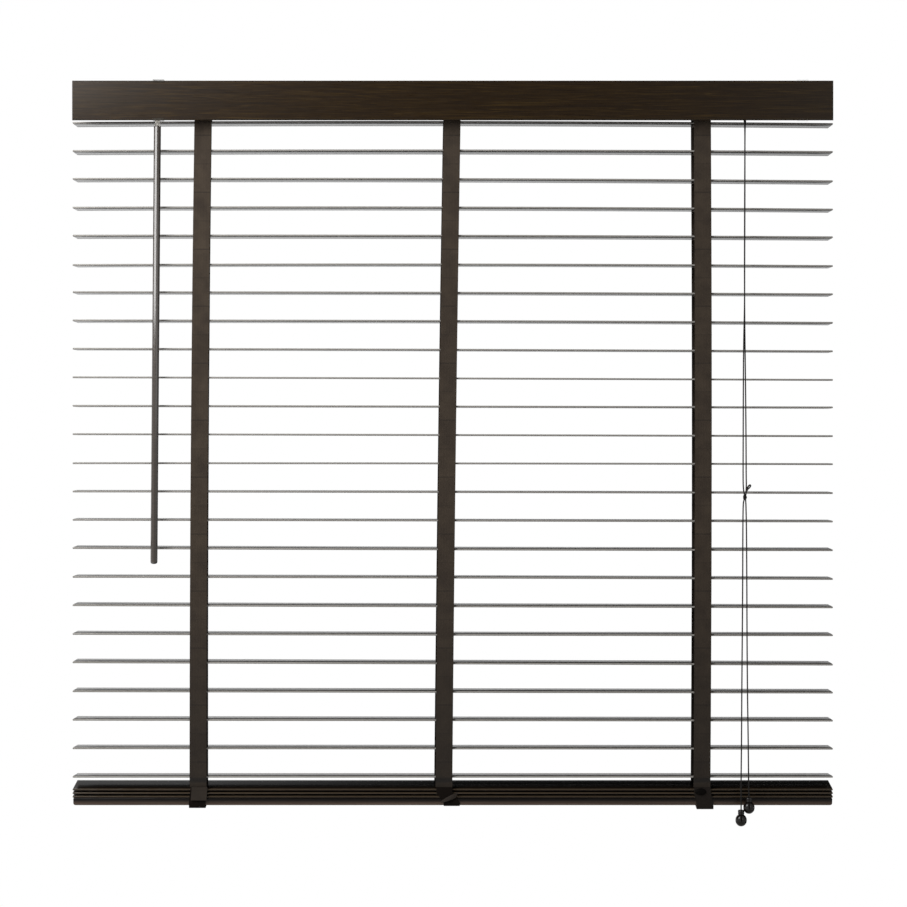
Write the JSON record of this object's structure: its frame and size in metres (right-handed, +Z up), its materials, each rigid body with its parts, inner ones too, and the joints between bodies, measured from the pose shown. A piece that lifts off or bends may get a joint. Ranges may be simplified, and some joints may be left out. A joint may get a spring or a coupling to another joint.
{
  "type": "venetian blind",
  "caption": "Wood slat venetian blind with valance, woven ladder tapes, tilt wand, knotted pull cords with tassels and a bottom rail; slats tilt together and the foot lifts.",
  "frame": {"origin": "midway along the headrail, mid-depth, at the window head that the brackets are screwed up to", "axes": "+X along the slats, +Y towards the window, +Z up"},
  "size_m": [1.18, 0.0835, 1.154],
  "materials": {
    "slat_wood": "gloss stained",
    "rail_wood": "satin stained",
    "webbing": "woven",
    "cord": "braided",
    "tassel_wood": "gloss",
    "painted_steel": "satin",
    "bare_steel": "drawn",
    "clear_plastic": "clear",
    "white_plastic": "moulded"
  },
  "bodies": {
    "headrail": {"headrail": "painted_steel", "bracket_left": "painted_steel", "bracket_right": "painted_steel", "valance": "slat_wood", "valance_clip_left": "clear_plastic", "valance_clip_right": "clear_plastic", "ladder_cradle_left": "white_plastic", "ladder_cradle_middle": "white_plastic", "ladder_cradle_right": "white_plastic", "tilter_housing": "white_plastic", "cord_lock": "white_plastic", "cord_left": "cord", "cord_right": "cord"},
    "tilt_rod": {"tilt_rod": "bare_steel", "ladder_drum_left": "white_plastic", "ladder_drum_middle": "white_plastic", "ladder_drum_right": "white_plastic", "tilter_gear": "white_plastic"},
    "tilter_worm": {"tilter_worm": "white_plastic"},
    "wand": {"wand_sleeve": "clear_plastic", "wand": "slat_wood"},
    "tape_fronts": {"tape_front_left": "webbing", "tape_front_middle": "webbing", "tape_front_right": "webbing"},
    "tape_backs": {"tape_back_left": "webbing", "tape_back_middle": "webbing", "tape_back_right": "webbing"},
    "slat_01": {"slat_01": "slat_wood"},
    "slat_02": {"slat_02": "slat_wood"},
    "slat_03": {"slat_03": "slat_wood"},
    "slat_04": {"slat_04": "slat_wood"},
    "slat_05": {"slat_05": "slat_wood"},
    "slat_06": {"slat_06": "slat_wood"},
    "slat_07": {"slat_07": "slat_wood"},
    "slat_08": {"slat_08": "slat_wood"},
    "slat_09": {"slat_09": "slat_wood"},
    "slat_10": {"slat_10": "slat_wood"},
    "slat_11": {"slat_11": "slat_wood"},
    "slat_12": {"slat_12": "slat_wood"},
    "slat_13": {"slat_13": "slat_wood"},
    "slat_14": {"slat_14": "slat_wood"},
    "slat_15": {"slat_15": "slat_wood"},
    "slat_16": {"slat_16": "slat_wood"},
    "slat_17": {"slat_17": "slat_wood"},
    "slat_18": {"slat_18": "slat_wood"},
    "slat_19": {"slat_19": "slat_wood"},
    "slat_20": {"slat_20": "slat_wood"},
    "slat_21": {"slat_21": "slat_wood"},
    "slat_22": {"slat_22": "slat_wood"},
    "slat_23": {"slat_23": "slat_wood"},
    "slat_24": {"slat_24": "slat_wood"},
    "ladder_rung_22": {"ladder_rung_22": "webbing"},
    "ladder_rung_23": {"ladder_rung_23": "webbing"},
    "ladder_rung_24": {"ladder_rung_24": "webbing"},
    "bottom_rail": {"bottom_rail": "rail_wood", "spare_slat_1": "slat_wood", "spare_slat_2": "slat_wood", "spare_slat_3": "slat_wood"},
    "tassels": {"tassel_left": "tassel_wood", "tassel_right": "tassel_wood"}
  },
  "joints": [
    {"name": "lift", "type": "slide", "parent": "headrail", "child": "ladder_rung_24", "axis": [0, 0, 1], "range_m": [0, 0.108], "deforming": ["ladder_rung_22", "ladder_rung_23", "ladder_rung_24", "tape_front_left", "tape_front_middle", "tape_front_right", "tape_back_left", "tape_back_middle", "tape_back_right", "cord_left", "cord_right"]},
    {"name": "rail_tilt", "type": "hinge", "parent": "ladder_rung_24", "child": "bottom_rail", "pos_m": [0, 0, -1.09431], "axis": [1, 0, 0], "range_deg": [-65, 65]},
    {"name": "lift_22", "type": "slide", "parent": "headrail", "child": "ladder_rung_22", "axis": [0, 0, 1], "range_m": [0, 0.036]},
    {"name": "lift_23", "type": "slide", "parent": "headrail", "child": "ladder_rung_23", "axis": [0, 0, 1], "range_m": [0, 0.072]},
    {"name": "slat_01_tilt", "type": "hinge", "parent": "headrail", "child": "slat_01", "pos_m": [0, 0, -0.064], "axis": [1, 0, 0], "range_deg": [-65, 65]},
    {"name": "slat_02_tilt", "type": "hinge", "parent": "headrail", "child": "slat_02", "pos_m": [0, 0, -0.10817], "axis": [1, 0, 0], "range_deg": [-65, 65]},
    {"name": "slat_03_tilt", "type": "hinge", "parent": "headrail", "child": "slat_03", "pos_m": [0, 0, -0.15234], "axis": [1, 0, 0], "range_deg": [-65, 65]},
    {"name": "slat_04_tilt", "type": "hinge", "parent": "headrail", "child": "slat_04", "pos_m": [0, 0, -0.19651], "axis": [1, 0, 0], "range_deg": [-65, 65]},
    {"name": "slat_05_tilt", "type": "hinge", "parent": "headrail", "child": "slat_05", "pos_m": [0, 0, -0.24068], "axis": [1, 0, 0], "range_deg": [-65, 65]},
    {"name": "slat_06_tilt", "type": "hinge", "parent": "headrail", "child": "slat_06", "pos_m": [0, 0, -0.28485], "axis": [1, 0, 0], "range_deg": [-65, 65]},
    {"name": "slat_07_tilt", "type": "hinge", "parent": "headrail", "child": "slat_07", "pos_m": [0, 0, -0.32902], "axis": [1, 0, 0], "range_deg": [-65, 65]},
    {"name": "slat_08_tilt", "type": "hinge", "parent": "headrail", "child": "slat_08", "pos_m": [0, 0, -0.37319], "axis": [1, 0, 0], "range_deg": [-65, 65]},
    {"name": "slat_09_tilt", "type": "hinge", "parent": "headrail", "child": "slat_09", "pos_m": [0, 0, -0.41736], "axis": [1, 0, 0], "range_deg": [-65, 65]},
    {"name": "slat_10_tilt", "type": "hinge", "parent": "headrail", "child": "slat_10", "pos_m": [0, 0, -0.46153], "axis": [1, 0, 0], "range_deg": [-65, 65]},
    {"name": "slat_11_tilt", "type": "hinge", "parent": "headrail", "child": "slat_11", "pos_m": [0, 0, -0.5057], "axis": [1, 0, 0], "range_deg": [-65, 65]},
    {"name": "slat_12_tilt", "type": "hinge", "parent": "headrail", "child": "slat_12", "pos_m": [0, 0, -0.54987], "axis": [1, 0, 0], "range_deg": [-65, 65]},
    {"name": "slat_13_tilt", "type": "hinge", "parent": "headrail", "child": "slat_13", "pos_m": [0, 0, -0.59404], "axis": [1, 0, 0], "range_deg": [-65, 65]},
    {"name": "slat_14_tilt", "type": "hinge", "parent": "headrail", "child": "slat_14", "pos_m": [0, 0, -0.63821], "axis": [1, 0, 0], "range_deg": [-65, 65]},
    {"name": "slat_15_tilt", "type": "hinge", "parent": "headrail", "child": "slat_15", "pos_m": [0, 0, -0.68238], "axis": [1, 0, 0], "range_deg": [-65, 65]},
    {"name": "slat_16_tilt", "type": "hinge", "parent": "headrail", "child": "slat_16", "pos_m": [0, 0, -0.72655], "axis": [1, 0, 0], "range_deg": [-65, 65]},
    {"name": "slat_17_tilt", "type": "hinge", "parent": "headrail", "child": "slat_17", "pos_m": [0, 0, -0.77072], "axis": [1, 0, 0], "range_deg": [-65, 65]},
    {"name": "slat_18_tilt", "type": "hinge", "parent": "headrail", "child": "slat_18", "pos_m": [0, 0, -0.81489], "axis": [1, 0, 0], "range_deg": [-65, 65]},
    {"name": "slat_19_tilt", "type": "hinge", "parent": "headrail", "child": "slat_19", "pos_m": [0, 0, -0.85906], "axis": [1, 0, 0], "range_deg": [-65, 65]},
    {"name": "slat_20_tilt", "type": "hinge", "parent": "headrail", "child": "slat_20", "pos_m": [0, 0, -0.90323], "axis": [1, 0, 0], "range_deg": [-65, 65]},
    {"name": "slat_21_tilt", "type": "hinge", "parent": "headrail", "child": "slat_21", "pos_m": [0, 0, -0.9474], "axis": [1, 0, 0], "range_deg": [-65, 65]},
    {"name": "slat_22_tilt", "type": "hinge", "parent": "ladder_rung_22", "child": "slat_22", "pos_m": [0, 0, -0.99157], "axis": [1, 0, 0], "range_deg": [-65, 65]},
    {"name": "slat_23_tilt", "type": "hinge", "parent": "ladder_rung_23", "child": "slat_23", "pos_m": [0, 0, -1.03574], "axis": [1, 0, 0], "range_deg": [-65, 65]},
    {"name": "slat_24_tilt", "type": "hinge", "parent": "ladder_rung_24", "child": "slat_24", "pos_m": [0, 0, -1.07991], "axis": [1, 0, 0], "range_deg": [-65, 65]},
    {"name": "tape_fronts_swing", "type": "hinge", "parent": "slat_01", "child": "tape_fronts", "pos_m": [0, -0.0236, -0.064], "axis": [1, 0, 0], "range_deg": [-65, 65]},
    {"name": "tape_backs_swing", "type": "hinge", "parent": "slat_01", "child": "tape_backs", "pos_m": [0, 0.0236, -0.064], "axis": [1, 0, 0], "range_deg": [-65, 65]},
    {"name": "tilt_rod_turn", "type": "hinge", "parent": "headrail", "child": "tilt_rod", "pos_m": [0, 0, -0.0215], "axis": [1, 0, 0], "range_deg": [-91, 91]},
    {"name": "tilter_worm_turn", "type": "hinge", "parent": "headrail", "child": "tilter_worm", "pos_m": [-0.4566, -0.01134, -0.01199], "axis": [0, 0.6428, 0.766], "range_deg": [-1085, 1085]},
    {"name": "wand_turn", "type": "hinge", "parent": "headrail", "child": "wand", "pos_m": [-0.4566, -0.038, -0.04376], "axis": [0.008, 0, 1], "range_deg": [-1085, 1085]},
    {"name": "tassels_drop", "type": "slide", "parent": "headrail", "child": "tassels", "axis": [0, 0, 1], "range_m": [-0.108, 0]}
  ],
  "couplings": [
    {"joint": "lift_22", "follows": "lift", "ratio": 0.33333},
    {"joint": "lift_23", "follows": "lift", "ratio": 0.66667},
    {"joint": "slat_01_tilt", "follows": "rail_tilt", "ratio": 1},
    {"joint": "slat_02_tilt", "follows": "rail_tilt", "ratio": 1},
    {"joint": "slat_03_tilt", "follows": "rail_tilt", "ratio": 1},
    {"joint": "slat_04_tilt", "follows": "rail_tilt", "ratio": 1},
    {"joint": "slat_05_tilt", "follows": "rail_tilt", "ratio": 1},
    {"joint": "slat_06_tilt", "follows": "rail_tilt", "ratio": 1},
    {"joint": "slat_07_tilt", "follows": "rail_tilt", "ratio": 1},
    {"joint": "slat_08_tilt", "follows": "rail_tilt", "ratio": 1},
    {"joint": "slat_09_tilt", "follows": "rail_tilt", "ratio": 1},
    {"joint": "slat_10_tilt", "follows": "rail_tilt", "ratio": 1},
    {"joint": "slat_11_tilt", "follows": "rail_tilt", "ratio": 1},
    {"joint": "slat_12_tilt", "follows": "rail_tilt", "ratio": 1},
    {"joint": "slat_13_tilt", "follows": "rail_tilt", "ratio": 1},
    {"joint": "slat_14_tilt", "follows": "rail_tilt", "ratio": 1},
    {"joint": "slat_15_tilt", "follows": "rail_tilt", "ratio": 1},
    {"joint": "slat_16_tilt", "follows": "rail_tilt", "ratio": 1},
    {"joint": "slat_17_tilt", "follows": "rail_tilt", "ratio": 1},
    {"joint": "slat_18_tilt", "follows": "rail_tilt", "ratio": 1},
    {"joint": "slat_19_tilt", "follows": "rail_tilt", "ratio": 1},
    {"joint": "slat_20_tilt", "follows": "rail_tilt", "ratio": 1},
    {"joint": "slat_21_tilt", "follows": "rail_tilt", "ratio": 1},
    {"joint": "slat_22_tilt", "follows": "rail_tilt", "ratio": 1},
    {"joint": "slat_23_tilt", "follows": "rail_tilt", "ratio": 1},
    {"joint": "slat_24_tilt", "follows": "rail_tilt", "ratio": 1},
    {"joint": "tape_fronts_swing", "follows": "rail_tilt", "ratio": -1},
    {"joint": "tape_backs_swing", "follows": "rail_tilt", "ratio": -1},
    {"joint": "tilt_rod_turn", "follows": "rail_tilt", "ratio": 1.39},
    {"joint": "tilter_worm_turn", "follows": "rail_tilt", "ratio": 16.68},
    {"joint": "wand_turn", "follows": "rail_tilt", "ratio": 16.68},
    {"joint": "tassels_drop", "follows": "lift", "ratio": -1}
  ]
}
